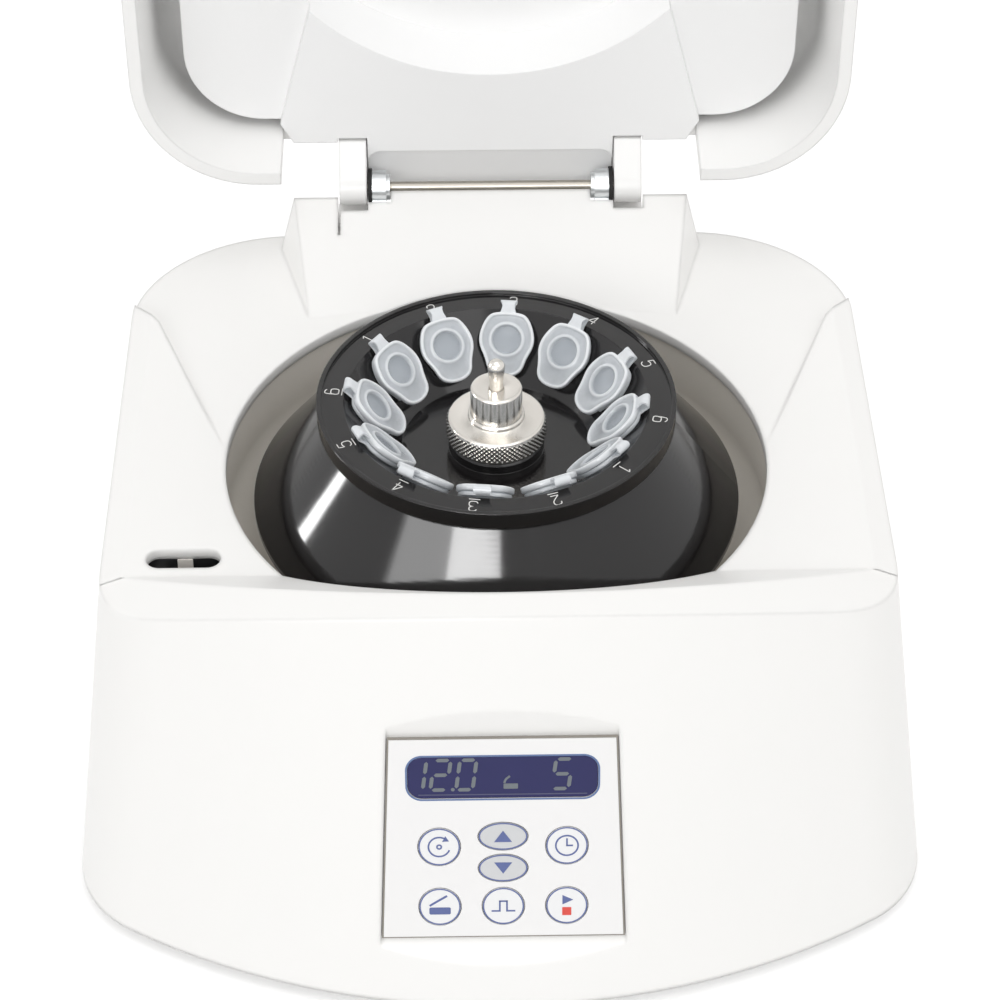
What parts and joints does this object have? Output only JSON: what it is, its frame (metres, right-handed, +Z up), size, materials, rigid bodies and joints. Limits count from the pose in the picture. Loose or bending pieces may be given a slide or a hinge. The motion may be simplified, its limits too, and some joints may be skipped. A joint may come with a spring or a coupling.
{
  "type": "mini centrifuge",
  "caption": "Bench mini centrifuge with its lid open: white housing, keypad, black angled rotor with capped tubes, clamp knob, lid lock and rear inlet.",
  "frame": {"origin": "bottom centre of the whole machine with its lid open, on the bench", "axes": "+Z up, -Y towards the keypad, +X to the right as seen from the front"},
  "size_m": [0.224, 0.2484, 0.2898],
  "materials": {
    "housing_white": "moulded, semi-gloss white",
    "lid_white": "moulded, semi-gloss white",
    "liner_white": "moulded, fine matt white",
    "dish_white": "moulded, fine matt white",
    "pan_white": "moulded matt off-white",
    "rear_plate": "powder-coated light grey",
    "black_plastic": "moulded matt black",
    "rocker_black": "moulded glossy black",
    "chamber_grey": "warm grey satin",
    "seal_rubber": "black rubber",
    "rotor_black": "black anodised, polished",
    "knob_steel": "bright nickel, knurled",
    "knob_pin_steel": "polished",
    "shaft_steel": "ground",
    "motor_paint": "black enamel",
    "bracket_steel": "zinc plated",
    "steel_screws": "zinc plated",
    "supply_green": "circuit board",
    "board_green": "circuit board",
    "membrane_white": "printed polyester film",
    "display_lens": "clear lens over a blue display",
    "key_round": "embossed film",
    "key_oval": "embossed film",
    "latch_grey": "moulded dark grey",
    "bolt_steel": "ground",
    "solenoid_steel": "zinc plated",
    "switch_metal": "spring steel",
    "hook_steel": "stamped",
    "hinge_steel": "polished steel",
    "washer_black": "black friction washer",
    "foot_rubber": "black rubber",
    "mount_rubber": "black rubber",
    "tube_clear": "clear polypropylene"
  },
  "bodies": {
    "base": {"upper_housing": "housing_white", "base_pan": "pan_white", "base_screws": "steel_screws", "rear_panel": "rear_plate", "mains_inlet": "black_plastic", "switch_frame": "black_plastic", "chamber_bowl": "chamber_grey", "shaft_seal": "seal_rubber", "motor_body": "motor_paint", "motor_bracket": "bracket_steel", "motor_screws": "steel_screws", "power_supply": "supply_green", "keypad_membrane": "membrane_white", "display_window": "display_lens", "control_board": "board_green", "latch_housing": "latch_grey", "bolt_solenoid": "solenoid_steel", "lid_switch": "switch_metal", "hinge_rod": "hinge_steel", "hinge_collar_left": "hinge_steel", "hinge_collar_right": "hinge_steel", "hinge_washer_left": "washer_black", "hinge_washer_right": "washer_black", "foot_1": "foot_rubber", "foot_2": "foot_rubber", "foot_3": "foot_rubber", "foot_4": "foot_rubber", "motor_mount_1": "mount_rubber", "motor_mount_2": "mount_rubber", "motor_mount_3": "mount_rubber"},
    "lid": {"lid_shell": "lid_white", "lid_liner": "liner_white", "lid_dish": "dish_white", "lid_screws": "steel_screws", "lid_hook": "hook_steel"},
    "rotor": {"rotor_body": "rotor_black", "motor_shaft": "shaft_steel", "tube_01": "tube_clear", "tube_02": "tube_clear", "tube_03": "tube_clear", "tube_04": "tube_clear", "tube_05": "tube_clear", "tube_06": "tube_clear", "tube_07": "tube_clear", "tube_08": "tube_clear", "tube_09": "tube_clear", "tube_10": "tube_clear", "tube_11": "tube_clear", "tube_12": "tube_clear"},
    "clamp_knob": {"rotor_knob": "knob_steel", "knob_pin": "knob_pin_steel"},
    "lock_bolt": {"latch_bolt": "bolt_steel"},
    "rocker": {"power_rocker": "rocker_black"},
    "key_speed_cap": {"key_speed": "key_round"},
    "key_time_cap": {"key_time": "key_round"},
    "key_lid_cap": {"key_lid": "key_round"},
    "key_pulse_cap": {"key_pulse": "key_round"},
    "key_start_cap": {"key_start": "key_round"},
    "key_up_cap": {"key_up": "key_oval"},
    "key_down_cap": {"key_down": "key_oval"}
  },
  "joints": [
    {"name": "lid_hinge", "type": "hinge", "parent": "base", "child": "lid", "pos_m": [0, 0.0988, 0.1036], "axis": [1, 0, 0], "range_deg": [0, 90]},
    {"name": "rotor_spin", "type": "hinge", "parent": "base", "child": "rotor", "pos_m": [0, -0.0072, 0.089], "axis": [0, 0, 1], "continuous": true},
    {"name": "knob_turn", "type": "hinge", "parent": "rotor", "child": "clamp_knob", "pos_m": [0, -0.0072, 0.089], "axis": [0, 0, 1], "range_deg": [0, 540]},
    {"name": "bolt_slide", "type": "slide", "parent": "base", "child": "lock_bolt", "axis": [0, -1, 0], "range_m": [0, 0.005], "stiffness_N_per_m": 60},
    {"name": "rocker_tilt", "type": "hinge", "parent": "base", "child": "rocker", "pos_m": [-0.026, 0.10124, 0.0376], "axis": [1, 0, 0], "range_deg": [0, 18]},
    {"name": "key_speed_press", "type": "slide", "parent": "base", "child": "key_speed_cap", "axis": [0, 0.95, -0.3123], "range_m": [0, 0.0004], "stiffness_N_per_m": 1500},
    {"name": "key_time_press", "type": "slide", "parent": "base", "child": "key_time_cap", "axis": [0, 0.95, -0.3123], "range_m": [0, 0.0004], "stiffness_N_per_m": 1500},
    {"name": "key_lid_press", "type": "slide", "parent": "base", "child": "key_lid_cap", "axis": [0, 0.95, -0.3123], "range_m": [0, 0.0004], "stiffness_N_per_m": 1500},
    {"name": "key_pulse_press", "type": "slide", "parent": "base", "child": "key_pulse_cap", "axis": [0, 0.95, -0.3123], "range_m": [0, 0.0004], "stiffness_N_per_m": 1500},
    {"name": "key_start_press", "type": "slide", "parent": "base", "child": "key_start_cap", "axis": [0, 0.95, -0.3123], "range_m": [0, 0.0004], "stiffness_N_per_m": 1500},
    {"name": "key_up_press", "type": "slide", "parent": "base", "child": "key_up_cap", "axis": [0, 0.95, -0.3123], "range_m": [0, 0.0004], "stiffness_N_per_m": 1500},
    {"name": "key_down_press", "type": "slide", "parent": "base", "child": "key_down_cap", "axis": [0, 0.95, -0.3123], "range_m": [0, 0.0004], "stiffness_N_per_m": 1500}
  ]
}
